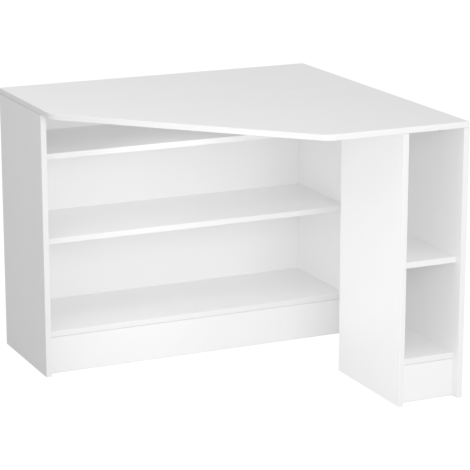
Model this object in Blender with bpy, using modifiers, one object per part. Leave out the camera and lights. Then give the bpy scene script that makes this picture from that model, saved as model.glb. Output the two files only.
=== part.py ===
"""Corner desk in melamine-faced board: a five-sided top over a wide open bookcase at the back and a narrow
open bookcase at the front right.

Metres, +Z up. The front faces -Y and the right-hand side faces +X. The origin is on the floor, under the
middle of the desk. Every board is 16 mm. Cam fittings hold the top and the bottom shelves, pins carry the
other shelves, dowels hold the plinths, and the thin back panels slide in grooves.
"""

import math

import bmesh
import bpy
from mathutils import Matrix, Vector

MM = 0.001

# Whole desk
DESK_WIDTH = 950 * MM
DESK_DEPTH = 960 * MM
DESK_HEIGHT = 750 * MM
BOARD = 16 * MM  # thickness of every board
GAP = 0.3 * MM  # left between two faces that touch

# Top: a rectangle with its front left corner cut off
LEFT_OVERHANG = 70 * MM  # of its left edge, in front of the back unit
FRONT_OVERHANG = 216 * MM  # of its front edge, to the left of the side unit
CORNER_RADIUS = 60 * MM  # where the cut meets those two edges
ARC_STEPS = 10

# Bookcases
UNIT_DEPTH = 340 * MM
SIDE_UNIT_WIDTH = 194 * MM
SETBACK = 25 * MM  # shelves and plinth stand this far behind the front edges of the ends
PLINTH_HEIGHT = 104 * MM
LOWER_COMPARTMENT = 248 * MM  # clear height over the bottom shelf
UPPER_COMPARTMENT = 114 * MM  # clear height under the top

# Back panels and the grooves that hold them
BACK_THICKNESS = 3 * MM
GROOVE_INSET = 6 * MM  # board that is left behind the groove
GROOVE_DEPTH = 6 * MM

# Cam fitting: a cam in the face of one board draws in a bolt that is screwed into the other
CAM_DIAMETER = 15 * MM
CAM_HEIGHT = 12 * MM
CAM_RECESS = 0.3 * MM  # its face lies this far below the board's
CAM_DISTANCE = 24 * MM  # from the board's end to the middle of the cam
CAM_MOUTH = 7.6 * MM  # the bore in its side, which takes the bolt's head
CAM_MOUTH_REACH = 4.5 * MM  # how far that bore goes past the middle
CAM_SLOT = (8 * MM, 1.5 * MM, 2.2 * MM)  # length, width and depth of its cross slot
CAM_STEPS = 20
TOP_CAM_INSET = 125 * MM  # from the front and the back of an end to the cams that hold the top
SHELF_CAM_INSET = 60 * MM  # from the front and the back of a bottom shelf to its cams
BOLT_BORE = 8 * MM
THREAD_DIAMETER = 6 * MM
THREAD_ROOT = 4.6 * MM
THREAD_LENGTH = 10.5 * MM
THREAD_TURNS = 3
COLLAR_DIAMETER = 7.2 * MM
COLLAR_LENGTH = 2 * MM
SHANK_DIAMETER = 5 * MM
NECK_DIAMETER = 3.6 * MM
HEAD_DIAMETER = 6.4 * MM
HEAD_LENGTH = 3.4 * MM
BOLT_STEPS = 10

# Shelf pin
PIN_DIAMETER = 5 * MM
PIN_DEPTH = 8.2 * MM  # in the end
PEG_DIAMETER = 7 * MM
PEG_LENGTH = 9 * MM  # under the shelf
PIN_CHAMFER = 0.4 * MM
PIN_INSET = 37 * MM  # from the front and the back of a shelf
PIN_STEPS = 12

# Dowel
DOWEL_DIAMETER = 8 * MM
DOWEL_LENGTH = 30 * MM
DOWEL_IN_END = 10 * MM  # the share of it that is in the end
DOWEL_CHAMFER = 1 * MM
DOWEL_STEPS = 16

# Lines that the pieces share
LEFT, RIGHT = -DESK_WIDTH / 2, DESK_WIDTH / 2
FRONT, BACK = -DESK_DEPTH / 2, DESK_DEPTH / 2
TOP_UNDERSIDE = DESK_HEIGHT - BOARD
BOTTOM_SHELF_UNDERSIDE = PLINTH_HEIGHT + GAP
BOTTOM_SHELF_TOP = BOTTOM_SHELF_UNDERSIDE + BOARD
MIDDLE_SHELF_TOP = BOTTOM_SHELF_TOP + LOWER_COMPARTMENT + BOARD
UPPER_SHELF_TOP = TOP_UNDERSIDE - UPPER_COMPARTMENT
CLEAR = 5 * MM  # how far a cutter reaches past the face that it enters

X, Y, Z = Vector((1, 0, 0)), Vector((0, 1, 0)), Vector((0, 0, 1))

MATERIALS = {  # name: colour (linear RGB), roughness, metallic
    "melamine_board": ((0.86, 0.86, 0.86), 0.30, 0.0),
    "hardboard": ((0.82, 0.82, 0.82), 0.38, 0.0),
    "zinc": ((0.58, 0.59, 0.61), 0.42, 1.0),
    "steel": ((0.62, 0.62, 0.62), 0.28, 1.0),
    "beech": ((0.62, 0.42, 0.25), 0.60, 0.0),
}


def clear_scene():
    for obj in list(bpy.data.objects):
        bpy.data.objects.remove(obj, do_unlink=True)


def new_collection(name, hidden=False):
    collection = bpy.data.collections.new(name)
    bpy.context.scene.collection.children.link(collection)
    collection.hide_render = hidden
    return collection


def material(name):
    """The material of this name, made the first time that it is asked for."""
    if name in bpy.data.materials:
        return bpy.data.materials[name]
    colour, roughness, metallic = MATERIALS[name]
    made = bpy.data.materials.new(name)
    made.use_nodes = True
    shader = made.node_tree.nodes["Principled BSDF"]
    shader.inputs["Base Color"].default_value = (*colour, 1)
    shader.inputs["Roughness"].default_value = roughness
    shader.inputs["Metallic"].default_value = metallic
    return made


def add_piece(name, mesh, made_of):
    """A sub-part of the desk, in the parts' collection and under the desk's empty."""
    piece = bpy.data.objects.new(name, mesh)
    parts.objects.link(piece)
    piece.parent = desk
    if not mesh.materials:
        mesh.materials.append(material(made_of))
    return piece


def box_mesh(name, size):
    """A box centred on its origin, from the cube primitive with its scale applied."""
    bpy.ops.mesh.primitive_cube_add(size=1)
    cube = bpy.context.active_object
    mesh = cube.data
    mesh.name = name
    mesh.transform(Matrix.Diagonal((*size, 1)))
    bpy.data.objects.remove(cube)
    return mesh


def add_board(name, low, high, made_of="melamine_board"):
    """A board that fills the box from low to high."""
    low, high = Vector(low), Vector(high)
    board = add_piece(name, box_mesh(name, high - low), made_of)
    board.location = (low + high) / 2
    return board


def cut(board, cutter):
    """Takes the cutter's shape out of the board."""
    cutters.objects.link(cutter)
    for other in cutter.users_collection:
        if other != cutters:
            other.objects.unlink(cutter)
    cutter.parent = desk
    cutter.hide_render = True
    cutter.display_type = "WIRE"
    boolean = board.modifiers.new(cutter.name, "BOOLEAN")
    boolean.operation = "DIFFERENCE"
    boolean.solver = "EXACT"
    boolean.object = cutter


def cut_box(board, name, low, high):
    low, high = Vector(low), Vector(high)
    cutter = bpy.data.objects.new(name, box_mesh(name, high - low))
    cutter.location = (low + high) / 2
    cut(board, cutter)


def cut_hole(board, name, mouth, direction, diameter, depth, steps):
    """A round hole that enters the board at mouth and goes depth along direction."""
    bpy.ops.mesh.primitive_cylinder_add(vertices=steps, radius=diameter / 2, depth=depth + CLEAR)
    cutter = bpy.context.active_object
    cutter.name = name
    cutter.location = Vector(mouth) + direction * (depth - CLEAR) / 2
    cutter.rotation_euler = direction.to_track_quat("Z", "Y").to_euler()
    cut(board, cutter)


def turned_mesh(name, profile, steps):
    """The mesh of a turned piece. The profile's (radius, height) points run from its top to its bottom."""
    mesh = bpy.data.meshes.new(name)
    points = [(radius, 0, height) for radius, height in profile]
    mesh.from_pydata(points, [(i, i + 1) for i in range(len(points) - 1)], [])
    guide = bpy.data.objects.new(name, mesh)
    bpy.context.scene.collection.objects.link(guide)
    screw = guide.modifiers.new("turn", "SCREW")
    screw.steps = screw.render_steps = steps
    screw.use_merge_vertices = True
    screw.merge_threshold = 0.00001
    turned = bpy.data.meshes.new_from_object(guide.evaluated_get(bpy.context.evaluated_depsgraph_get()))
    turned.name = name
    bpy.data.objects.remove(guide)
    turned.shade_smooth()
    turned.set_sharp_from_angle(angle=math.radians(35))
    return turned


def bolt_mesh():
    """A cam bolt. Its thread points up from the face at height 0 that it is screwed into, its head down."""
    pitch = (THREAD_LENGTH + GAP) / THREAD_TURNS
    thread = [(0, THREAD_LENGTH), (THREAD_ROOT / 2, THREAD_LENGTH)]
    for turn in range(THREAD_TURNS):
        ridge = THREAD_LENGTH - (turn + 0.5) * pitch
        thread += [(THREAD_DIAMETER / 2, ridge), (THREAD_ROOT / 2, ridge - pitch / 2)]
    head_top = -CAM_DISTANCE + HEAD_LENGTH / 2
    shank = [
        (COLLAR_DIAMETER / 2, -GAP),
        (COLLAR_DIAMETER / 2, -COLLAR_LENGTH),
        (SHANK_DIAMETER / 2, -COLLAR_LENGTH),
        (SHANK_DIAMETER / 2, -CAM_DISTANCE + CAM_DIAMETER / 2),
        (NECK_DIAMETER / 2, -CAM_DISTANCE + CAM_DIAMETER / 2),
        (NECK_DIAMETER / 2, head_top),
        (HEAD_DIAMETER / 2, head_top),
        (HEAD_DIAMETER / 2, head_top - HEAD_LENGTH),
        (0, head_top - HEAD_LENGTH),
    ]
    return turned_mesh("cam_bolt", thread + shank, BOLT_STEPS)


def pin_mesh():
    """A shelf pin. Its thin end points up into the end panel's face at height 0, its peg down."""
    pin, peg = PIN_DIAMETER / 2, PEG_DIAMETER / 2
    profile = [
        (0, PIN_DEPTH),
        (pin - PIN_CHAMFER, PIN_DEPTH),
        (pin, PIN_DEPTH - PIN_CHAMFER),
        (pin, -GAP),
        (peg, -GAP),
        (peg, -PEG_LENGTH + PIN_CHAMFER),
        (peg - PIN_CHAMFER, -PEG_LENGTH),
        (0, -PEG_LENGTH),
    ]
    return turned_mesh("shelf_pin", profile, PIN_STEPS)


def dowel_mesh():
    """A dowel that points up into the end panel's face at height 0."""
    radius, top = DOWEL_DIAMETER / 2, DOWEL_IN_END
    bottom = top - DOWEL_LENGTH
    profile = [
        (0, top),
        (radius - DOWEL_CHAMFER, top),
        (radius, top - DOWEL_CHAMFER),
        (radius, bottom + DOWEL_CHAMFER),
        (radius - DOWEL_CHAMFER, bottom),
        (0, bottom),
    ]
    return turned_mesh("dowel", profile, DOWEL_STEPS)


def cam_mesh():
    """A cam. Its face looks up from height 0, and the mouth in its side looks along +X."""
    bpy.ops.mesh.primitive_cylinder_add(vertices=CAM_STEPS, radius=CAM_DIAMETER / 2, depth=CAM_HEIGHT)
    body = bpy.context.active_object
    body.name = "cam_blank"
    body.data.transform(Matrix.Translation((0, 0, -CAM_HEIGHT / 2)))
    slot_length, slot_width, slot_depth = CAM_SLOT
    slot = Vector((slot_length, slot_width, 2 * slot_depth)) / 2
    cut_box(body, "cam_slot_x", -slot, slot)
    across = Vector((slot.y, slot.x, slot.z))
    cut_box(body, "cam_slot_y", -across, across)
    mouth_height = CAM_RECESS - BOARD / 2
    mouth = Vector((CAM_DIAMETER / 2, 0, mouth_height))
    cut_hole(body, "cam_mouth", mouth, -X, CAM_MOUTH, CAM_DIAMETER / 2 + CAM_MOUTH_REACH, BOLT_STEPS)
    bpy.context.view_layer.update()
    made = bpy.data.meshes.new_from_object(body.evaluated_get(bpy.context.evaluated_depsgraph_get()))
    made.name = "cam"
    for cutter in [modifier.object for modifier in body.modifiers]:
        bpy.data.objects.remove(cutter)
    bpy.data.objects.remove(body)
    made.shade_smooth()
    made.set_sharp_from_angle(angle=math.radians(35))
    return made


def add_fastener(name, mesh, made_of, location, up, side=None):
    """A small piece whose own +Z points along up and, where side is given, its +X along side."""
    piece = add_piece(name, mesh, made_of)
    piece.location = location
    if side is None:
        piece.rotation_euler = up.to_track_quat("Z", "Y").to_euler()
    else:
        piece.rotation_euler = Matrix((side, up.cross(side), up)).transposed().to_euler()
    return piece


def add_cam_joint(name, cam_board, bolt_board, at, outward, face):
    """Joins the end of cam_board to the face of bolt_board.

    at is the point where the bolt's axis crosses that face, outward points from it into bolt_board, and
    face is the way that the cam's face looks, which is out of the broad side of cam_board.
    """
    middle = Vector(at) - outward * CAM_DISTANCE
    on_face = middle + face * BOARD / 2
    hole_depth = CAM_RECESS + CAM_HEIGHT + GAP
    cut_hole(cam_board, f"{name}_cam_hole", on_face, -face, CAM_DIAMETER + 2 * GAP, hole_depth, CAM_STEPS)
    cut_hole(cam_board, f"{name}_bore", at, -outward, BOLT_BORE, CAM_DISTANCE, BOLT_STEPS)
    thread_hole = THREAD_DIAMETER + 2 * GAP
    cut_hole(bolt_board, f"{name}_pilot", at, outward, thread_hole, THREAD_LENGTH + GAP, BOLT_STEPS)
    add_fastener(f"{name}_bolt", bolts, "steel", at, outward)
    add_fastener(f"{name}_cam", cams, "zinc", on_face - face * CAM_RECESS, face, outward)


def add_dowel_joint(name, dowelled_board, end, at, outward):
    """A dowel between the end of dowelled_board and the face of end, at the point where it crosses it."""
    hole = DOWEL_DIAMETER + 2 * GAP
    rest = DOWEL_LENGTH - DOWEL_IN_END
    cut_hole(end, f"{name}_hole_in_end", at, outward, hole, DOWEL_IN_END + GAP, DOWEL_STEPS)
    cut_hole(dowelled_board, f"{name}_hole", at, -outward, hole, rest + GAP, DOWEL_STEPS)
    add_fastener(name, dowels, "beech", at, outward)


def top_outline():
    """The top's corners from above, anticlockwise, with the two ends of the cut corner rounded."""
    left_turn = Vector((LEFT, BACK - UNIT_DEPTH - LEFT_OVERHANG))
    front_turn = Vector((RIGHT - SIDE_UNIT_WIDTH - FRONT_OVERHANG, FRONT))
    cut_way = (front_turn - left_turn).normalized()
    outline = [Vector((RIGHT, FRONT)), Vector((RIGHT, BACK)), Vector((LEFT, BACK))]
    outline += rounded_corner(left_turn, Vector((0, -1)), cut_way)
    outline += rounded_corner(front_turn, cut_way, Vector((1, 0)))
    return outline


def rounded_corner(corner, way_in, way_out):
    """Points of the arc that turns from way_in to way_out, in the place of a sharp corner."""
    turn = way_in.angle_signed(way_out) * -1
    reach = CORNER_RADIUS * math.tan(abs(turn) / 2)
    inward = Vector((-way_in.y, way_in.x)) * math.copysign(1, turn)
    centre = corner - way_in * reach + inward * CORNER_RADIUS
    start = corner - way_in * reach - centre
    angles = [turn * step / ARC_STEPS for step in range(ARC_STEPS + 1)]
    return [centre + Matrix.Rotation(angle, 2) @ start for angle in angles]


def add_top():
    """The desk's top, a flat outline with thickness."""
    outline = bpy.data.curves.new("top_outline", "CURVE")
    outline.dimensions = "2D"
    outline.fill_mode = "BOTH"
    outline.extrude = BOARD / 2
    spline = outline.splines.new("POLY")
    points = top_outline()
    spline.points.add(len(points) - 1)
    for point, place in zip(spline.points, points):
        point.co = (*place, 0, 1)
    spline.use_cyclic_u = True
    guide = bpy.data.objects.new("top_outline", outline)
    bpy.context.scene.collection.objects.link(guide)
    bpy.context.view_layer.update()
    mesh = bpy.data.meshes.new_from_object(guide.evaluated_get(bpy.context.evaluated_depsgraph_get()))
    bpy.data.objects.remove(guide)
    mesh.name = "tabletop"
    weld(mesh)
    mesh.materials.clear()
    top = add_piece("tabletop", mesh, "melamine_board")
    top.location = (0, 0, TOP_UNDERSIDE + BOARD / 2)
    return top


def weld(mesh):
    """Joins a converted curve's caps to its sides, with every face looking out."""
    edit = bmesh.new()
    edit.from_mesh(mesh)
    bmesh.ops.remove_doubles(edit, verts=edit.verts, dist=0.00001)
    bmesh.ops.recalc_face_normals(edit, faces=edit.faces)
    edit.to_mesh(mesh)
    edit.free()


class Unit:
    """An open bookcase under the top: two ends, a bottom shelf on a plinth, pinned shelves and a back."""

    def __init__(self, name, left, right, front):
        self.name = name
        self.left, self.right = left, right
        self.front, self.back = front, front + UNIT_DEPTH
        self.shelf_front = self.front + SETBACK
        self.inner_left, self.inner_right = left + BOARD, right - BOARD
        self.shelf_ends = self.inner_left + GAP, self.inner_right - GAP
        self.panel_back = self.back - GROOVE_INSET
        self.panel_front = self.panel_back - BACK_THICKNESS
        self.ends = self.add_ends()
        self.bottom = self.add_shelf("bottom_shelf", BOTTOM_SHELF_TOP, self.back)
        self.plinth = self.add_plinth()

    def sides(self):
        """For each end: its board, its inner face's x, and the way from the unit's middle to it."""
        names = "left", "right"
        return zip(names, self.ends, (self.inner_left, self.inner_right), (-X, X))

    def add_ends(self):
        spans = {"left_end": (self.left, self.inner_left), "right_end": (self.inner_right, self.right)}
        made = []
        for end, (low, high) in spans.items():
            corners = (low, self.front, 0), (high, self.back, TOP_UNDERSIDE - GAP)
            made.append(add_board(f"{self.name}_{end}", *corners))
        return made

    def add_shelf(self, name, top, back):
        low = (self.shelf_ends[0], self.shelf_front, top - BOARD)
        return add_board(f"{self.name}_{name}", low, (self.shelf_ends[1], back, top))

    def add_plinth(self):
        low = (self.shelf_ends[0], self.shelf_front, 0)
        high = (self.shelf_ends[1], self.shelf_front + BOARD, PLINTH_HEIGHT)
        return add_board(f"{self.name}_plinth", low, high)

    def add_pinned_shelf(self, name, top):
        """A shelf that lies on four pins, two in each end."""
        shelf_back = self.panel_front - GAP
        self.add_shelf(name, top, shelf_back)
        height = top - BOARD - GAP - PEG_DIAMETER / 2
        rows = {"front": self.shelf_front + PIN_INSET, "rear": shelf_back - PIN_INSET}
        for side, end, inner, outward in self.sides():
            for row, y in rows.items():
                pin = f"{self.name}_{name}_pin_{side}_{row}"
                at = Vector((inner, y, height))
                hole = PIN_DIAMETER + 2 * GAP
                cut_hole(end, f"{pin}_hole", at, outward, hole, PIN_DEPTH + GAP, PIN_STEPS)
                add_fastener(pin, pins, "steel", at, outward)

    def add_back(self, top):
        """The back panel, in grooves in the ends, the bottom shelf and the top."""
        grooves = GROOVE_DEPTH
        low_x, high_x = self.inner_left - grooves, self.inner_right + grooves
        low_z, high_z = BOTTOM_SHELF_TOP - grooves, TOP_UNDERSIDE + grooves
        low_y, high_y = self.panel_front - GAP, self.panel_back + GAP
        for side, end, inner, outward in self.sides():
            deep = sorted((inner + outward.x * grooves, inner - outward.x * CLEAR))
            low, high = (deep[0], low_y, -CLEAR), (deep[1], high_y, DESK_HEIGHT)
            cut_box(end, f"{self.name}_groove_{side}", low, high)
        low, high = (self.left, low_y, low_z), (self.right, high_y, low_z + grooves + CLEAR)
        cut_box(self.bottom, f"{self.name}_groove_bottom", low, high)
        low, high = (low_x, low_y, TOP_UNDERSIDE - CLEAR), (high_x, high_y, high_z)
        cut_box(top, f"{self.name}_groove_top", low, high)
        low = (low_x + GAP, self.panel_front, low_z + GAP)
        high = (high_x - GAP, self.panel_back, high_z - GAP)
        add_board(f"{self.name}_back_panel", low, high, "hardboard")

    def fix_top(self, top):
        """Two cam fittings at the head of each end."""
        rows = {"front": self.front + TOP_CAM_INSET, "rear": self.back - TOP_CAM_INSET}
        for side, end, inner, outward in self.sides():
            for row, y in rows.items():
                at = Vector((inner + outward.x * BOARD / 2, y, TOP_UNDERSIDE))
                add_cam_joint(f"{self.name}_top_{side}_{row}", end, top, at, Z, -outward)

    def fix_bottom_shelf(self, rear_dowel=False):
        """Two fittings at each end of the bottom shelf, cams under it, or a cam and a dowel."""
        height = BOTTOM_SHELF_UNDERSIDE + BOARD / 2
        for side, end, inner, outward in self.sides():
            front = Vector((inner, self.shelf_front + SHELF_CAM_INSET, height))
            rear = Vector((inner, self.back - SHELF_CAM_INSET, height))
            add_cam_joint(f"{self.name}_shelf_{side}_front", self.bottom, end, front, outward, -Z)
            name = f"{self.name}_shelf_{side}_rear"
            if rear_dowel:
                add_dowel_joint(f"{name}_dowel", self.bottom, end, rear, outward)
            else:
                add_cam_joint(name, self.bottom, end, rear, outward, -Z)

    def fix_plinth(self):
        """A dowel at each end of the plinth."""
        middle = self.shelf_front + BOARD / 2
        for side, end, inner, outward in self.sides():
            at = Vector((inner, middle, PLINTH_HEIGHT / 2))
            add_dowel_joint(f"{self.name}_plinth_dowel_{side}", self.plinth, end, at, outward)


clear_scene()
parts = new_collection("corner_desk")
cutters = new_collection("cutters", hidden=True)
desk = bpy.data.objects.new("corner_desk_origin", None)
parts.objects.link(desk)

bolts, cams, pins, dowels = bolt_mesh(), cam_mesh(), pin_mesh(), dowel_mesh()

tabletop = add_top()

back_unit = Unit("back_unit", LEFT, RIGHT, BACK - UNIT_DEPTH)
back_unit.add_pinned_shelf("middle_shelf", MIDDLE_SHELF_TOP)
back_unit.add_pinned_shelf("upper_shelf", UPPER_SHELF_TOP)
back_unit.add_back(tabletop)
back_unit.fix_top(tabletop)
back_unit.fix_bottom_shelf()
back_unit.fix_plinth()

side_unit = Unit("side_unit", RIGHT - SIDE_UNIT_WIDTH, RIGHT, FRONT)
side_unit.add_pinned_shelf("middle_shelf", MIDDLE_SHELF_TOP)
side_unit.add_back(tabletop)
side_unit.fix_top(tabletop)
side_unit.fix_bottom_shelf(rear_dowel=True)
side_unit.fix_plinth()
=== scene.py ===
"""Corner desk in white melamine-faced chipboard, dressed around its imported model.

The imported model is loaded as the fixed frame. Each board in it is stood for by the board as it is made: a
chipboard core with a melamine face on both sides, trimmed back where a strip of ABS is glued round its edge.
The back panels, cams, cam bolts, shelf pins and dowels stay as packed and take the finish of their material.

Lengths are in metres, +Z is up and the desk's front faces -Y.
"""

import logging
import math
from dataclasses import dataclass, field
from enum import Enum
from typing import Any

import bmesh
import bpy
from mathutils import Matrix, Vector
from mathutils.geometry import convex_hull_2d


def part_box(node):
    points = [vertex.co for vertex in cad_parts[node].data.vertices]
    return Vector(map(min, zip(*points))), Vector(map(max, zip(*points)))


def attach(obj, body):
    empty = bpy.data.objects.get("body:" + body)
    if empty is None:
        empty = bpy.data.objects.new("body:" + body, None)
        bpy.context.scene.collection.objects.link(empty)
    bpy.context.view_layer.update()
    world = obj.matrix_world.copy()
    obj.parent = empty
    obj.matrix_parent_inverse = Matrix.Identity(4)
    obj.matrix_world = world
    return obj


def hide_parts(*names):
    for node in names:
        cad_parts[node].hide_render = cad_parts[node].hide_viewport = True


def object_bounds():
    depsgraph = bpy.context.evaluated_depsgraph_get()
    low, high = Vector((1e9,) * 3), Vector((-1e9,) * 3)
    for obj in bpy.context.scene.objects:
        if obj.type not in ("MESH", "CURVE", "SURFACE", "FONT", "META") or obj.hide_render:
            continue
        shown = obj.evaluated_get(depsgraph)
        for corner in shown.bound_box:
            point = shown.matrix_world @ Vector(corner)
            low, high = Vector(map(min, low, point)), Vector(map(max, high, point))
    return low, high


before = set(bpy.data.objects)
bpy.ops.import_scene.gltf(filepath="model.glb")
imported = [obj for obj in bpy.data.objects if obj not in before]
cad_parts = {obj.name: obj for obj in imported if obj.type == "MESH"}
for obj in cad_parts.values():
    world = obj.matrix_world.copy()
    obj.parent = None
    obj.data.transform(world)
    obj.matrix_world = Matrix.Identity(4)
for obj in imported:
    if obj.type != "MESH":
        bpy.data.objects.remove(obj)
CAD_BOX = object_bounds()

MM = 0.001
BODY = "root"
FLAT_ANGLE = math.radians(30)  # faces that meet at less than this shade as one surface
ON_FACE = 0.02 * MM  # a point this close to a plane lies in it
WELD = 0.001 * MM  # corners this close are one
CUT_TOLERANCE = 0.0001 * MM  # a corner this close to a cutting plane isn't cut
WHITE = (1.0, 1.0, 1.0, 1.0)

# The inputs of a colour Mix node that give the share, the first and the second colour, and its output
MIX_SHARE, MIX_FIRST, MIX_SECOND, MIXED = 0, 6, 7, 2

Colour = tuple[float, float, float, float]
Socket = bpy.types.NodeSocket

log = logging.getLogger("corner_desk")


def linear(hex_colour: str) -> Colour:
    """Turns an sRGB colour into the linear one that a shader takes.

    Args:
        hex_colour: six hex digits, two each for red, green and blue.

    Returns:
        Linear red, green and blue, with an alpha of 1.
    """
    shares = [int(hex_colour[at : at + 2], 16) / 255 for at in (0, 2, 4)]
    red, green, blue = (s / 12.92 if s <= 0.04045 else ((s + 0.055) / 1.055) ** 2.4 for s in shares)
    return red, green, blue, 1.0


def add_node(
    tree: bpy.types.NodeTree,
    kind: str,
    settings: dict[str | int, Any] | None = None,
    links: dict[str | int, Socket] | None = None,
) -> bpy.types.Node:
    """Adds a node with its settings and the links into it.

    Args:
        tree: the node tree that takes the node.
        kind: the node's type name, without its "ShaderNode" start.
        settings: values by property name, or by the name or number of an input.
        links: output sockets by the name or number of the input that they feed.

    Returns:
        The new node.
    """
    node = tree.nodes.new(f"ShaderNode{kind}")
    for key, value in (settings or {}).items():
        if isinstance(key, str) and hasattr(node, key):
            setattr(node, key, value)
        else:
            node.inputs[key].default_value = value
    for key, socket in (links or {}).items():
        tree.links.new(socket, node.inputs[key])
    return node


# ---------------------------------------------------------------------------------------------------------
# Finishes
# ---------------------------------------------------------------------------------------------------------


class Slot(Enum):
    """The names of the record's material slots for the boards and the edge strips."""

    BOARD = "white_board"
    EDGE_BAND = "edge_band"


@dataclass(frozen=True)
class Finish:
    """What a material is and how its surface was made; a subclass adds the pattern that it shows."""

    name: str
    colour: str
    roughness: float
    ior: float = 1.5
    metallic: float = 0.0
    cloud_range: tuple[float, float] = (0.3, 0.7)  # most of a noise lies between these

    def build(self) -> bpy.types.Material:
        """Makes the material, with its constants on the shader's own sockets.

        Returns:
            The material, patterned by the finish's own dress method.
        """
        material = bpy.data.materials.new(self.name)
        material.use_nodes = True
        tree = material.node_tree
        tree.nodes.clear()
        constants = {
            "Base Color": linear(self.colour),
            "Roughness": self.roughness,
            "Metallic": self.metallic,
            "IOR": self.ior,
        }
        shader = add_node(tree, "BsdfPrincipled", constants)
        self.dress(tree, shader, add_node(tree, "TexCoord"))
        add_node(tree, "OutputMaterial", links={"Surface": shader.outputs["BSDF"]})
        return material

    def dress(self, tree: bpy.types.NodeTree, shader: bpy.types.Node, place: bpy.types.Node) -> None:
        """Adds the pattern; a plain finish has none."""

    def mottle(
        self, tree: bpy.types.NodeTree, shader: bpy.types.Node, cloud: Socket, duller: float, shaded: str
    ) -> None:
        """Lets a cloud of spots vary the sheen and the colour.

        Args:
            tree: the material's node tree.
            shader: its shader.
            cloud: a noise, most of which lies in the finish's cloud_range.
            duller: how far the roughness goes either way.
            shaded: the sRGB colour at the cloud's upper end.
        """
        middle = {"From Min": self.cloud_range[0], "From Max": self.cloud_range[1]}
        ends = {"To Min": self.roughness - duller, "To Max": self.roughness + duller}
        rough = add_node(tree, "MapRange", middle | ends, {"Value": cloud})
        tree.links.new(rough.outputs["Result"], shader.inputs["Roughness"])
        share = add_node(tree, "MapRange", middle, {"Value": cloud})
        colours = {"data_type": "RGBA", MIX_FIRST: linear(self.colour), MIX_SECOND: linear(shaded)}
        tint = add_node(tree, "Mix", colours, {MIX_SHARE: share.outputs["Result"]})
        tree.links.new(tint.outputs[MIXED], shader.inputs["Base Color"])

    def emboss(
        self, tree: bpy.types.NodeTree, shader: bpy.types.Node, height: Socket, depth_mm: float, relief: float
    ) -> None:
        """Adds relief, on top of what the shader's normal already has.

        Args:
            tree: the material's node tree.
            shader: its shader.
            height: the relief's height, where 1 is its full depth.
            depth_mm: the full depth.
            relief: how strongly it shows, from 0 to 1.
        """
        links = {"Height": height}
        under = shader.inputs["Normal"].links
        if under:
            links["Normal"] = under[0].from_socket
        bump = add_node(tree, "Bump", {"Strength": relief, "Distance": depth_mm * MM}, links)
        tree.links.new(bump.outputs["Normal"], shader.inputs["Normal"])


def per_metre(size_mm: float) -> float:
    """The texture scale that gives a pattern of this size in millimetres."""
    return 1 / (size_mm * MM)


@dataclass(frozen=True)
class MelamineFace(Finish):
    """Melamine resin film that a textured steel plate pressed onto the board.

    It gives the eye an even, neutral white with a soft sheen, and a fine pearl texture that breaks up the
    reflection of a lamp.
    """

    shaded: str = "F3F3F3"
    duller: float = 0.025
    cloud_mm: float = 130.0  # how far apart the film's slightly duller patches are
    pearl_mm: float = 1.6  # real pearls are 0.3 to 0.6 mm across, too fine to show, so they are drawn coarser
    pearl_depth_mm: float = 0.02
    relief: float = 0.35

    def dress(self, tree: bpy.types.NodeTree, shader: bpy.types.Node, place: bpy.types.Node) -> None:
        """Adds the pearl texture, and patches that are slightly duller and darker."""
        where = {"Vector": place.outputs["Object"]}
        cloud = add_node(tree, "TexNoise", {"Scale": per_metre(self.cloud_mm), "Detail": 2.0}, where)
        self.mottle(tree, shader, cloud.outputs["Fac"], self.duller, self.shaded)
        pearls = add_node(tree, "TexNoise", {"Scale": per_metre(self.pearl_mm), "Detail": 1.0}, where)
        self.emboss(tree, shader, pearls.outputs["Fac"], self.pearl_depth_mm, self.relief)


@dataclass(frozen=True)
class AbsStrip(Finish):
    """White ABS strip, extruded, glued on and scraped flush.

    It gives the eye a slightly smoother sheen than the faces, in fine lines that follow the edge.
    """

    shaded: str = "EBEBEB"
    duller: float = 0.03
    line_mm: float = 1.1  # real die lines are 0.1 to 0.2 mm wide, so they are drawn coarser
    line_length_mm: float = 70.0
    line_depth_mm: float = 0.008
    relief: float = 0.4

    def dress(self, tree: bpy.types.NodeTree, shader: bpy.types.Node, place: bpy.types.Node) -> None:
        """Adds lines along the strip, read from its own coordinates: along it and round its section."""
        stretch = {"Scale": (per_metre(self.line_length_mm), per_metre(self.line_mm), 1.0)}
        along = add_node(tree, "Mapping", stretch, {"Vector": place.outputs["UV"]})
        lines = add_node(tree, "TexNoise", {"Scale": 1.0, "Detail": 2.0}, {"Vector": along.outputs["Vector"]})
        self.mottle(tree, shader, lines.outputs["Fac"], self.duller, self.shaded)
        self.emboss(tree, shader, lines.outputs["Fac"], self.line_depth_mm, self.relief)


@dataclass(frozen=True)
class Chipboard(Finish):
    """Pressed spruce chips and glue, sawn and drilled.

    It gives the eye a dry, speckled straw brown. It shows only in bores, grooves and edges with no strip.
    """

    dark: str = "8F6B45"
    chip_mm: float = 2.6
    pit_depth_mm: float = 0.25
    relief: float = 0.6

    def dress(self, tree: bpy.types.NodeTree, shader: bpy.types.Node, place: bpy.types.Node) -> None:
        """Adds chips of several browns with pits between them."""
        settings = {"Scale": per_metre(self.chip_mm), "Randomness": 1.0}
        chips = add_node(tree, "TexVoronoi", settings, {"Vector": place.outputs["Object"]})
        shade = add_node(tree, "SeparateColor", links={"Color": chips.outputs["Color"]})
        browns = {"data_type": "RGBA", MIX_FIRST: linear(self.colour), MIX_SECOND: linear(self.dark)}
        tint = add_node(tree, "Mix", browns, {MIX_SHARE: shade.outputs["Red"]})
        tree.links.new(tint.outputs[MIXED], shader.inputs["Base Color"])
        self.emboss(tree, shader, chips.outputs["Distance"], self.pit_depth_mm, self.relief)


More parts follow.
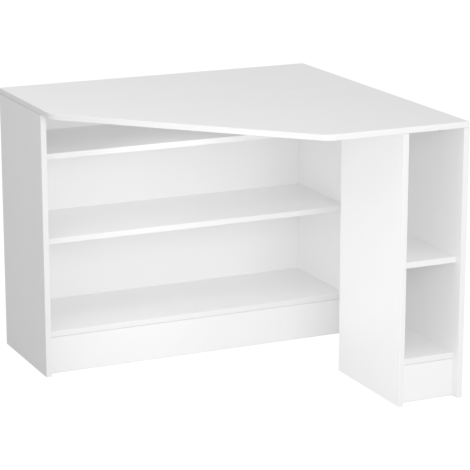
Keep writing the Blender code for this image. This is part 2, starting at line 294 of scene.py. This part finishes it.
@dataclass(frozen=True)
class LacqueredHardboard(Finish):
    """Wood fibre pressed thin against a smooth plate and a wire screen, then roller-coated white.

    It gives the eye a flat white with the roller's faint orange peel in front, and the screen's small square
    weave behind.
    """

    rear_colour: str = "E4E4E3"
    rear_within: float = math.radians(60)  # what faces the rear to within this angle is the screen side
    peel_mm: float = 5.0
    peel_depth_mm: float = 0.015
    screen_mm: float = 3.2  # the real wires are 1.3 mm apart, so the weave is drawn coarser
    screen_depth_mm: float = 0.12
    relief: float = 0.5

    def dress(self, tree: bpy.types.NodeTree, shader: bpy.types.Node, place: bpy.types.Node) -> None:
        """Adds the orange peel, and the weave where the surface faces the rear."""
        facing = add_node(tree, "SeparateXYZ", links={"Vector": place.outputs["Normal"]})
        rearward = {"operation": "GREATER_THAN", 1: math.cos(self.rear_within)}
        rear = add_node(tree, "Math", rearward, {0: facing.outputs["Y"]})
        whites = {"data_type": "RGBA", MIX_FIRST: linear(self.colour), MIX_SECOND: linear(self.rear_colour)}
        tint = add_node(tree, "Mix", whites, {MIX_SHARE: rear.outputs[0]})
        tree.links.new(tint.outputs[MIXED], shader.inputs["Base Color"])
        where = {"Vector": place.outputs["Object"]}
        height = rear.outputs[0]
        axes = add_node(tree, "SeparateXYZ", links=where)
        for axis in "XZ":
            turns = {"operation": "MULTIPLY", 1: per_metre(self.screen_mm) * math.tau}
            angle = add_node(tree, "Math", turns, {0: axes.outputs[axis]})
            wave = add_node(tree, "Math", {"operation": "SINE"}, {0: angle.outputs[0]})
            woven = add_node(tree, "Math", {"operation": "MULTIPLY"}, {0: height, 1: wave.outputs[0]})
            height = woven.outputs[0]
        peel = add_node(tree, "TexNoise", {"Scale": per_metre(self.peel_mm), "Detail": 1.0}, where)
        self.emboss(tree, shader, peel.outputs["Fac"], self.peel_depth_mm, self.relief)
        self.emboss(tree, shader, height, self.screen_depth_mm, self.relief)


@dataclass(frozen=True)
class Metal(Finish):
    """A small metal fitting, cast or turned and then plated.

    It gives the eye a bright grey with a fine grain, coarser and duller where it was cast.
    """

    metallic: float = 1.0
    dark: str = "8E9094"
    duller: float = 0.08
    grain_mm: float = 0.6
    grain_depth_mm: float = 0.03
    relief: float = 0.5

    def dress(self, tree: bpy.types.NodeTree, shader: bpy.types.Node, place: bpy.types.Node) -> None:
        """Adds grain to its colour, its sheen and its surface."""
        settings = {"Scale": per_metre(self.grain_mm), "Detail": 3.0}
        grain = add_node(tree, "TexNoise", settings, {"Vector": place.outputs["Object"]})
        self.mottle(tree, shader, grain.outputs["Fac"], self.duller, self.dark)
        self.emboss(tree, shader, grain.outputs["Fac"], self.grain_depth_mm, self.relief)


@dataclass(frozen=True)
class Beech(Finish):
    """Beech rod, planed and left bare.

    It gives the eye a pale pinkish brown with short darker flecks along the rod.
    """

    dark: str = "A9794F"
    duller: float = 0.05
    fleck_mm: float = 0.5
    fleck_length_mm: float = 5.0
    fleck_depth_mm: float = 0.05
    relief: float = 0.5

    def dress(self, tree: bpy.types.NodeTree, shader: bpy.types.Node, place: bpy.types.Node) -> None:
        """Adds flecks that are stretched along X, the way that every dowel lies."""
        fleck = per_metre(self.fleck_mm)
        stretch = {"Scale": (per_metre(self.fleck_length_mm), fleck, fleck)}
        along = add_node(tree, "Mapping", stretch, {"Vector": place.outputs["Object"]})
        where = {"Vector": along.outputs["Vector"]}
        flecks = add_node(tree, "TexNoise", {"Scale": 1.0, "Detail": 2.0}, where)
        self.mottle(tree, shader, flecks.outputs["Fac"], self.duller, self.dark)
        self.emboss(tree, shader, flecks.outputs["Fac"], self.fleck_depth_mm, self.relief)


@dataclass
class Finishes:
    """The desk's finishes, each built once."""

    melamine: bpy.types.Material = field(
        default_factory=MelamineFace("melamine film, pressed", "F5F5F5", 0.32).build
    )
    # The strip's white is a little greyer than the faces': partly the ABS's own tone, partly painted shade
    # that darkens every board edge.
    strip: bpy.types.Material = field(
        default_factory=AbsStrip("ABS strip, extruded", "EEEEEE", 0.32, 1.53).build
    )
    chipboard: bpy.types.Material = field(
        default_factory=Chipboard("chipboard, sawn", "C7A77A", 0.85).build
    )
    hardboard: bpy.types.Material = field(
        default_factory=LacqueredHardboard("hardboard, roller-coated", "F4F4F4", 0.34).build
    )
    zinc: bpy.types.Material = field(
        default_factory=Metal("zinc, die-cast", "B4B6BA", 0.42).build
    )
    steel: bpy.types.Material = field(
        default_factory=Metal("steel, turned and plated", "C9CBCD", 0.28, grain_mm=0.3).build
    )
    beech: bpy.types.Material = field(default_factory=Beech("beech, planed", "CFA678", 0.6).build)


# ---------------------------------------------------------------------------------------------------------
# Boards
# ---------------------------------------------------------------------------------------------------------


class Edge(Enum):
    """An edge of a board that can take a strip, as the way that it faces."""

    FRONT = (0, -1, 0)
    REAR = (0, 1, 0)
    BOTTOM = (0, 0, -1)

    @property
    def outward(self) -> Vector:
        """The edge's outward direction."""
        return Vector(self.value)


class Axis(Enum):
    """The axis across a board's thickness."""

    X = 0
    Y = 1
    Z = 2

    @property
    def along(self) -> Vector:
        """The axis as a unit vector."""
        return Vector([1.0 if at == self.value else 0.0 for at in range(3)])


@dataclass(frozen=True)
class Strip:
    """The section of the edge strip and how it is swept along an edge."""

    thickness: float = 2.0 * MM
    arris: float = 1.6 * MM  # radius that the scraper leaves
    arris_steps: int = 4
    glue_line: float = 0.06 * MM
    hold: float = 0.05 * MM  # a second line beside each bend, which keeps the flat beside it flat

    @property
    def trimmed(self) -> float:
        """How far a board is cut back to make room for the strip and its glue."""
        return self.thickness + self.glue_line

    def section(self, width: float) -> list[tuple[float, float]]:
        """The strip's section.

        Args:
            width: the board's thickness.

        Returns:
            Points (outward, across), outward from the strip's outer face and across from the board's middle.
        """
        half = width / 2
        points = [(-self.thickness, -half), (-self.arris - self.hold, -half)]
        for step in range(self.arris_steps + 1):
            angle = math.pi / 2 * step / self.arris_steps
            outward = self.arris * (math.sin(angle) - 1)
            points.append((outward, self.arris * (1 - math.cos(angle)) - half))
        points.append((0.0, self.arris + self.hold - half))
        return points + [(outward, -across) for outward, across in reversed(points)]

    def sweep(
        self,
        name: str,
        path: list[Vector],
        ways: list[Vector],
        across: Vector,
        width: float,
        closed: bool,
    ) -> bpy.types.Mesh:
        """Sweeps the section along an edge.

        Args:
            name: the mesh's name.
            path: points along the middle of the strip's outer face.
            ways: for each point, the outward move that keeps every side at the same distance.
            across: the direction of the board's thickness.
            width: the board's thickness.
            closed: whether the last point joins the first.

        Returns:
            A closed mesh with coordinates in metres along the strip and round its section.
        """
        section = self.section(width)
        edit = bmesh.new()
        rings = [
            [edit.verts.new(point + way * outward + across * aside) for outward, aside in section]
            for point, way in zip(path, ways)
        ]
        travelled = [0.0]
        for here, there in zip(path, path[1:] + path[:1]):
            travelled.append(travelled[-1] + (there - here).length)
        round_section = [0.0]
        for (a, b), (c, d) in zip(section, section[1:] + section[:1]):
            round_section.append(round_section[-1] + math.hypot(c - a, d - b))
        layer = edit.loops.layers.uv.new("strip")
        count = len(section)
        for at in range(len(path) if closed else len(path) - 1):
            first, second = rings[at], rings[(at + 1) % len(path)]
            for side in range(count):
                after = (side + 1) % count
                face = edit.faces.new((first[side], second[side], second[after], first[after]))
                corners = ((at, side), (at + 1, side), (at + 1, side + 1), (at, side + 1))
                for loop, (step, turn) in zip(face.loops, corners):
                    loop[layer].uv = (travelled[step], round_section[turn])
        if not closed:
            for ring in (rings[0], rings[-1]):
                edit.faces.new(ring)
        return finished_mesh(name, edit)


def finished_mesh(name: str, edit: bmesh.types.BMesh) -> bpy.types.Mesh:
    """Turns an edit mesh into a mesh whose faces look out and shade smooth up to a sharp edge.

    Args:
        name: the mesh's name.
        edit: the edit mesh, which is freed.

    Returns:
        The mesh.
    """
    bmesh.ops.recalc_face_normals(edit, faces=edit.faces)
    mesh = bpy.data.meshes.new(name)
    edit.to_mesh(mesh)
    edit.free()
    mesh.shade_smooth()
    mesh.set_sharp_from_angle(angle=FLAT_ANGLE)
    return mesh


def add_piece(mesh: bpy.types.Mesh, materials: list[bpy.types.Material]) -> bpy.types.Object:
    """Adds a piece that rides on the desk.

    Args:
        mesh: its mesh, in the desk's own frame; the piece takes its name.
        materials: its materials, in the order of the mesh's material numbers.

    Returns:
        The piece.
    """
    for material in materials:
        mesh.materials.append(material)
    piece = bpy.data.objects.new(mesh.name, mesh)
    bpy.context.scene.collection.objects.link(piece)
    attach(piece, BODY)
    log.info("%s: %d faces", piece.name, len(mesh.polygons))
    return piece


@dataclass
class Board:
    """A board of the desk: its core with two melamine faces, and the strips round its edges."""

    node: str
    across: Axis
    edges: tuple[Edge, ...]
    finishes: Finishes
    strip: Strip = field(default_factory=Strip)

    @property
    def box(self) -> tuple[Vector, Vector]:
        """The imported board's lowest and highest corners."""
        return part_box(self.node)

    @property
    def width(self) -> float:
        """The board's thickness."""
        low, high = self.box
        return (high - low)[self.across.value]

    def build(self) -> None:
        """Makes the core and the strips."""
        self.add_core([(self.corner_of(edge), edge.outward) for edge in self.edges])
        for edge in self.edges:
            self.add_strip(edge)

    def corner_of(self, edge: Edge) -> Vector:
        """A point of the edge's outer face."""
        low, high = self.box
        return high.copy() if sum(edge.value) > 0 else low.copy()

    def add_core(self, sides: list[tuple[Vector, Vector]]) -> None:
        """Makes the board itself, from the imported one, cut back at the sides that take a strip.

        Args:
            sides: for each of them, a point in its outer face and its outward direction.
        """
        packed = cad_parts[self.node].data
        edit = bmesh.new()
        corners = [edit.verts.new(vert.co) for vert in packed.vertices]
        for polygon in packed.polygons:
            edit.faces.new([corners[at] for at in polygon.vertices])
        bmesh.ops.remove_doubles(edit, verts=edit.verts, dist=WELD)
        for point, outward in sides:
            everything = edit.verts[:] + edit.edges[:] + edit.faces[:]
            plane = point - outward * self.strip.trimmed
            bmesh.ops.bisect_plane(
                edit,
                geom=everything,
                dist=CUT_TOLERANCE,
                plane_co=plane,
                plane_no=outward,
                clear_outer=True,
            )
            rim = [one for one in edit.edges if one.is_boundary]
            bmesh.ops.holes_fill(edit, edges=rim)
        low, high = self.box
        axis = self.across.value
        for face in edit.faces:
            places = [vert.co[axis] for vert in face.verts]
            on_face = max(places) < low[axis] + ON_FACE or min(places) > high[axis] - ON_FACE
            face.material_index = 0 if on_face else 1
        mesh = finished_mesh(f"{self.node}_board", edit)
        core = add_piece(mesh, [self.finishes.melamine, self.finishes.chipboard])
        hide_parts(self.node)

    def add_strip(self, edge: Edge) -> None:
        """Makes the strip on a straight edge."""
        low, high = self.box
        middle = (low + high) / 2
        outward, across = edge.outward, self.across.along
        length_way = outward.cross(across)
        reach = abs((high - low) @ length_way) / 2
        face = middle + outward * abs((high - low) @ outward) / 2
        path = [face - length_way * reach, face + length_way * reach]
        name = f"{self.node}_{edge.name.lower()}_strip"
        mesh = self.strip.sweep(name, path, [outward] * 2, across, self.width, closed=False)
        add_piece(mesh, [self.finishes.strip])


@dataclass
class Tabletop(Board):
    """The five-sided top, with one strip all the way round."""

    corner_radius: float = 2.6 * MM  # the strip's own bend at a square corner
    corner_steps: int = 4
    corner_angle: float = math.radians(30)  # an outline that turns by more than this is a square corner
    long_side: float = 10 * MM

    def outline(self) -> list[Vector]:
        """The outline's points, anticlockwise from above, at the height of the board's middle."""
        low, high = self.box
        places = [vert.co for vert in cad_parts[self.node].data.vertices]
        upper = [place.to_2d() for place in places if place.z > high.z - ON_FACE]
        around = [upper[at] for at in convex_hull_2d(upper)]
        area = sum(a.cross(b) for a, b in zip(around, around[1:] + around[:1]))
        if area < 0:
            around.reverse()
        kept: list[Vector] = []
        for point in around:
            if not kept or (point - kept[-1]).length > ON_FACE:
                kept.append(point)
        middle = (low.z + high.z) / 2
        return [Vector((point.x, point.y, middle)) for point in kept]

    def bent(self, outline: list[Vector]) -> list[Vector]:
        """The outline with its square corners bent round, and a point held beside each end of a bend.

        Args:
            outline: the outline's points.

        Returns:
            The strip's path.
        """
        path: list[Vector] = []
        for before, here, after in zip(outline[-1:] + outline[:-1], outline, outline[1:] + outline[:1]):
            way_in, way_out = (here - before).normalized(), (after - here).normalized()
            turn = way_in.angle(way_out)
            if turn > self.corner_angle:
                reach = self.corner_radius * math.tan(turn / 2)
                inward = Vector((-way_in.y, way_in.x, 0))
                centre = here - way_in * reach + inward * self.corner_radius
                start = -inward * self.corner_radius
                bend = [
                    centre + Matrix.Rotation(turn * step / self.corner_steps, 3, "Z") @ start
                    for step in range(self.corner_steps + 1)
                ]
            else:
                bend = [here]
            if (here - before).length > self.long_side:
                path.append(bend[0] - way_in * self.strip.arris)
            path += bend
            if (after - here).length > self.long_side:
                path.append(bend[-1] + way_out * self.strip.arris)
        return path

    def build(self) -> None:
        """Makes the core and the one strip round it."""
        outline = self.outline()
        sides = []
        for here, there in zip(outline, outline[1:] + outline[:1]):
            way = (there - here).normalized()
            sides.append((here, Vector((way.y, -way.x, 0))))
        self.add_core(sides)
        path = self.bent(outline)
        ways = []
        for before, here, after in zip(path[-1:] + path[:-1], path, path[1:] + path[:1]):
            way_in, way_out = (here - before).normalized(), (after - here).normalized()
            out_in, out_out = Vector((way_in.y, -way_in.x, 0)), Vector((way_out.y, -way_out.x, 0))
            ways.append((out_in + out_out) / (1 + out_in @ out_out))
        mesh = self.strip.sweep(f"{self.node}_strip", path, ways, self.across.along, self.width, closed=True)
        add_piece(mesh, [self.finishes.strip])


@dataclass
class Bookcase:
    """An open bookcase under the top: two ends, a plinth and its shelves."""

    name: str
    loose_shelves: tuple[str, ...]
    finishes: Finishes

    def boards(self) -> list[Board]:
        """The bookcase's boards, with the edges that each has a strip on."""
        ends = [
            Board(f"{self.name}_{side}_end", Axis.X, (Edge.FRONT, Edge.REAR), self.finishes)
            for side in ("left", "right")
        ]
        bottom = Board(f"{self.name}_bottom_shelf", Axis.Z, (Edge.FRONT, Edge.REAR), self.finishes)
        plinth = Board(f"{self.name}_plinth", Axis.Y, (Edge.BOTTOM,), self.finishes)
        shelves = [
            Board(f"{self.name}_{shelf}", Axis.Z, (Edge.FRONT,), self.finishes)
            for shelf in self.loose_shelves
        ]
        return [*ends, bottom, plinth, *shelves]

    def build(self) -> None:
        """Makes every board."""
        for board in self.boards():
            board.build()


@dataclass
class Fittings:
    """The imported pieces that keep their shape: cams, bolts, pins, dowels and back panels."""

    finishes: Finishes

    def finish_for(self, node: str) -> bpy.types.Material | None:
        """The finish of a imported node, by what its name says it is, or None for a board."""
        by_word = {
            "cam": self.finishes.zinc,
            "bolt": self.finishes.steel,
            "pin": self.finishes.steel,
            "dowel": self.finishes.beech,
            "panel": self.finishes.hardboard,
        }
        words = node.split("_")
        return next((finish for word, finish in by_word.items() if word in words), None)

    def dress(self) -> None:
        """Gives each of them its finish."""
        for name, node in sorted(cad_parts.items()):
            finish = self.finish_for(name)
            if finish is not None:
                for place in node.material_slots:
                    place.material = finish
                log.info("%s: %s", name, finish.name)


# ---------------------------------------------------------------------------------------------------------
# Studio
# ---------------------------------------------------------------------------------------------------------


@dataclass(frozen=True)
class StudioFloor(Finish):
    """Matt paper sweep, lit from below through its translucent base.

    It gives the eye a bright even white that takes only the faintest contact shadow, and throws little light
    back up at the desk.
    """

    glow: float = 0.8
    fibre_mm: float = 6.0
    fibre_depth_mm: float = 0.05
    relief: float = 0.2

    def dress(self, tree: bpy.types.NodeTree, shader: bpy.types.Node, place: bpy.types.Node) -> None:
        """Adds the glow, which is only seen and lights nothing, and the paper's fibre."""
        shader.inputs["Emission Color"].default_value = WHITE
        seen = add_node(tree, "LightPath").outputs["Is Camera Ray"]
        glow = add_node(tree, "Math", {"operation": "MULTIPLY", 1: self.glow}, {0: seen})
        tree.links.new(glow.outputs[0], shader.inputs["Emission Strength"])
        settings = {"Scale": per_metre(self.fibre_mm), "Detail": 2.0}
        fibre = add_node(tree, "TexNoise", settings, {"Vector": place.outputs["Object"]})
        self.emboss(tree, shader, fibre.outputs["Fac"], self.fibre_depth_mm, self.relief)


@dataclass(frozen=True)
class Softbox:
    """A square lamp behind diffusing cloth."""

    name: str
    place: tuple[float, float, float]
    aim: tuple[float, float, float]
    side: float
    watts: float

    def build(self) -> None:
        """Adds the lamp, turned towards its aim."""
        lamp = bpy.data.lights.new(self.name, "AREA")
        lamp.shape = "SQUARE"
        lamp.size = self.side
        lamp.energy = self.watts
        holder = bpy.data.objects.new(self.name, lamp)
        holder.visible_camera = False
        holder.location = self.place
        holder.rotation_euler = (Vector(self.aim) - Vector(self.place)).to_track_quat("-Z", "Y").to_euler()
        bpy.context.scene.collection.objects.link(holder)


@dataclass(frozen=True)
class WallGlow:
    """A softly lit stretch of the studio's white walls, brightest in one direction."""

    azimuth: float  # degrees round from the desk's front towards its right
    height: float  # degrees above the floor
    tightness: float  # the power of its falloff: the larger, the smaller the lit stretch
    strength: float

    @property
    def towards(self) -> tuple[float, float, float]:
        """The direction of its brightest place."""
        around, up = math.radians(self.azimuth), math.radians(self.height)
        return math.sin(around) * math.cos(up), -math.cos(around) * math.cos(up), math.sin(up)


@dataclass
class Studio:
    """Floor, walls, lamps and camera."""

    floor_radius: float = 60.0
    floor_sides: int = 96
    floor_drop: float = 0.3 * MM  # keeps the floor clear of the undersides that stand on it
    azimuth: float = math.radians(24.794)
    elevation: float = math.radians(14.641)
    distance: float = 5.667
    lens_mm: float = 158.85
    aim: Vector = field(default_factory=lambda: Vector((0.0256, -0.0090, 0.0099)))  # from the desk's middle
    softness: float = 1.8  # display gamma, for the low contrast of a high-key studio shot
    lamps: tuple[Softbox, ...] = (
        Softbox("front_softbox", (-0.3, -2.4, 1.0), (0.0, 0.0, 0.3), 1.2, 24.0),
        Softbox("left_softbox", (-1.2, -0.7, 1.9), (-0.3, 0.0, 0.75), 0.8, 5.6),
        Softbox("knee_softbox", (-0.45, -0.4, 0.3), (0.28, -0.4, 0.33), 0.4, 1.95),
        Softbox("shelf_softbox", (-0.1, -0.02, 0.68), (-0.1, 0.25, 0.35), 0.12, 0.28),
    )
    glows: tuple[WallGlow, ...] = (
        WallGlow(-45, 8, 6, 1.05),
        WallGlow(45, 8, 6, 1.1),
        WallGlow(45, 45, 6, 0.6),
        WallGlow(-90, 8, 6, 0.25),
        WallGlow(90, 8, 6, 0.4),
        WallGlow(180, 10, 6, 0.7),
        WallGlow(180, 45, 6, 0.25),
        WallGlow(0, 90, 6, 1.0),
    )

    def add_floor(self) -> None:
        """Adds the floor, which isn't part of the desk."""
        edit = bmesh.new()
        bmesh.ops.create_circle(edit, cap_ends=True, segments=self.floor_sides, radius=self.floor_radius)
        mesh = bpy.data.meshes.new("studio_floor")
        edit.to_mesh(mesh)
        edit.free()
        mesh.materials.append(StudioFloor("paper sweep, matt", "A9A9A9", 0.9).build())
        floor = bpy.data.objects.new("studio_floor", mesh)
        floor.location = (0, 0, CAD_BOX[0].z - self.floor_drop)
        bpy.context.scene.collection.objects.link(floor)

    def add_walls(self) -> None:
        """Adds the walls' glows as light from all round; seen directly, the walls are plain white."""
        world = bpy.data.worlds.new("studio_walls")
        world.use_nodes = True
        tree = world.node_tree
        tree.nodes.clear()
        way = add_node(tree, "TexCoord").outputs["Generated"]
        so_far: dict[str | int, Socket] = {}
        for glow in self.glows:
            near = add_node(tree, "VectorMath", {"operation": "DOT_PRODUCT", 1: glow.towards}, {0: way})
            lit = add_node(tree, "Math", {"operation": "MAXIMUM", 1: 0.0}, {0: near.outputs["Value"]})
            fall = add_node(tree, "Math", {"operation": "POWER", 1: glow.tightness}, {0: lit.outputs[0]})
            share = {"operation": "MULTIPLY_ADD", 1: glow.strength, 2: 0.0}
            total = add_node(tree, "Math", share, {0: fall.outputs[0]} | so_far)
            so_far = {2: total.outputs[0]}
        seen = add_node(tree, "LightPath").outputs["Is Camera Ray"]
        strength = add_node(tree, "Math", {"operation": "MAXIMUM"}, {0: seen, 1: total.outputs[0]})
        wall = add_node(tree, "Background", {"Color": WHITE}, {"Strength": strength.outputs[0]})
        add_node(tree, "OutputWorld", links={"Surface": wall.outputs["Background"]})
        bpy.context.scene.world = world

    def add_camera(self) -> None:
        """Adds the camera, aimed from a distance at a point near the desk's middle."""
        optics = bpy.data.cameras.new("camera")
        optics.lens = self.lens_mm
        optics.clip_end = 2 * self.floor_radius
        camera = bpy.data.objects.new("camera", optics)
        around, level = self.azimuth, math.cos(self.elevation)
        forward = Vector((math.sin(around) * level, math.cos(around) * level, -math.sin(self.elevation)))
        target = (CAD_BOX[0] + CAD_BOX[1]) / 2 + self.aim
        camera.location = target - forward * self.distance
        camera.rotation_euler = (math.pi / 2 - self.elevation, 0, -around)
        bpy.context.scene.collection.objects.link(camera)
        bpy.context.scene.camera = camera

    def build(self) -> None:
        """Adds everything, and displays brightness plainly so that white stays white."""
        self.add_floor()
        self.add_walls()
        for lamp in self.lamps:
            lamp.build()
        self.add_camera()
        display = bpy.context.scene.view_settings
        display.view_transform = "Standard"
        display.gamma = self.softness


def main() -> None:
    """Builds the desk's pieces and the studio in order."""
    logging.basicConfig(level=logging.INFO, format="%(name)s: %(message)s")
    finishes = Finishes()
    Tabletop("tabletop", Axis.Z, (), finishes).build()
    Bookcase("back_unit", ("middle_shelf", "upper_shelf"), finishes).build()
    Bookcase("side_unit", ("middle_shelf",), finishes).build()
    Fittings(finishes).dress()
    Studio().build()


if __name__ == "__main__":
    main()
